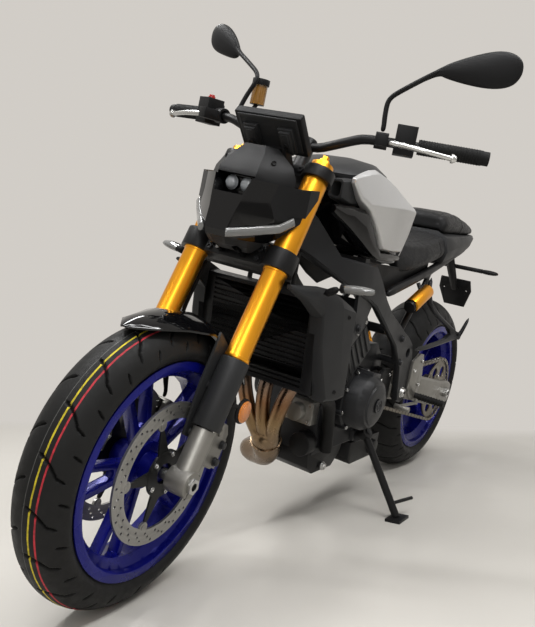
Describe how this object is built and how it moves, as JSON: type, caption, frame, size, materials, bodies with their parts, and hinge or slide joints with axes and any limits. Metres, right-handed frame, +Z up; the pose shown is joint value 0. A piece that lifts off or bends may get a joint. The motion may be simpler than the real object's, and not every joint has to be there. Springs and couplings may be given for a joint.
{
  "type": "standard motorcycle",
  "caption": "Naked road motorcycle with a gold upside-down fork, silver tank panels and blue cast wheels, parked leaning on its side stand.",
  "frame": {"origin": "bottom centre of the parked machine's box", "axes": "+X forward, +Y to the rider's left, +Z up"},
  "size_m": [2.066, 0.9052, 1.3321],
  "materials": {
    "satin_dark_grey": "satin dark grey paint",
    "matte_black_metal": "matte black coating",
    "cast_aluminium": "cast, lightly grained",
    "bright_steel": "turned and brushed",
    "dark_casting": "satin grey-black casting",
    "black_plastic": "fine grain",
    "heat_tinted_steel": "heat-tinted bronze",
    "grey_plastic": "matte dark grey",
    "gloss_black": "gloss black paint",
    "silver_paint": "satin silver paint",
    "seat_cover": "grained seat cover",
    "red_lens": "red lens",
    "gold_anodised": "gold anodised",
    "chain_steel": "oiled steel",
    "rubber": "matte rubber",
    "amber_plastic": "amber translucent",
    "clear_lens": "clear lens",
    "tyre": "tyre rubber",
    "blue_paint": "deep blue paint",
    "disc_steel": "ground steel"
  },
  "bodies": {
    "chassis": {"frame": "satin_dark_grey", "subframe": "matte_black_metal", "swingarm": "cast_aluminium", "rear_axle": "bright_steel", "crankcase": "dark_casting", "cylinder_block": "dark_casting", "oil_pan": "matte_black_metal", "engine_covers": "dark_casting", "sprocket_cover": "black_plastic", "oil_cooler": "cast_aluminium", "exhaust_headers": "heat_tinted_steel", "muffler": "matte_black_metal", "radiator": "matte_black_metal", "radiator_shrouds": "grey_plastic", "indicators": "black_plastic", "fuel_tank": "gloss_black", "tank_cover": "grey_plastic", "fuel_cap": "matte_black_metal", "tank_panels": "silver_paint", "intake_panels": "gloss_black", "rider_seat": "seat_cover", "passenger_seat": "seat_cover", "tail_cowl": "grey_plastic", "tail_lamp": "red_lens", "plate_holder": "black_plastic", "rear_shock": "bright_steel", "shock_reservoir": "gold_anodised", "footrests": "cast_aluminium", "passenger_footrests": "satin_dark_grey", "drive_chain": "chain_steel", "rear_caliper": "dark_casting"},
    "steering": {"fork_clamps": "matte_black_metal", "fork_tubes": "gold_anodised", "fork_legs": "cast_aluminium", "front_axle": "bright_steel", "front_fender": "gloss_black", "front_calipers": "cast_aluminium", "brake_hoses": "rubber", "handlebar": "matte_black_metal", "grips": "rubber", "switchgear": "black_plastic", "levers": "bright_steel", "brake_reservoir": "amber_plastic", "mirrors": "black_plastic", "display": "black_plastic", "headlamp_cowl": "gloss_black", "cowl_chin": "grey_plastic", "headlamp": "clear_lens", "lamp_strips": "clear_lens"},
    "front_wheel": {"front_tyre": "tyre", "front_rim": "blue_paint", "front_discs": "disc_steel", "front_carriers": "matte_black_metal"},
    "rear_wheel": {"rear_tyre": "tyre", "rear_rim": "blue_paint", "rear_disc": "disc_steel", "rear_carrier": "matte_black_metal", "rear_sprocket": "chain_steel"},
    "side_stand": {"side_stand": "matte_black_metal"}
  },
  "joints": [
    {"name": "steering", "type": "hinge", "parent": "chassis", "child": "steering", "pos_m": [0.45251, -0.07005, 0.82824], "axis": [-0.4179, 0.1796, 0.8906], "range_deg": [-36.2, 27.8]},
    {"name": "front_wheel_spin", "type": "hinge", "parent": "steering", "child": "front_wheel", "pos_m": [0.73357, -0.17574, 0.29378], "axis": [-0.0665, 0.9716, -0.2271], "continuous": true},
    {"name": "rear_wheel_spin", "type": "hinge", "parent": "chassis", "child": "rear_wheel", "pos_m": [-0.69688, -0.17441, 0.31068], "axis": [0, 0.9803, -0.1977], "continuous": true},
    {"name": "side_stand_fold", "type": "hinge", "parent": "chassis", "child": "side_stand", "pos_m": [-0.09888, -0.06646, 0.2288], "axis": [0.1334, 0.8798, 0.4563], "range_deg": [0, 93]}
  ]
}
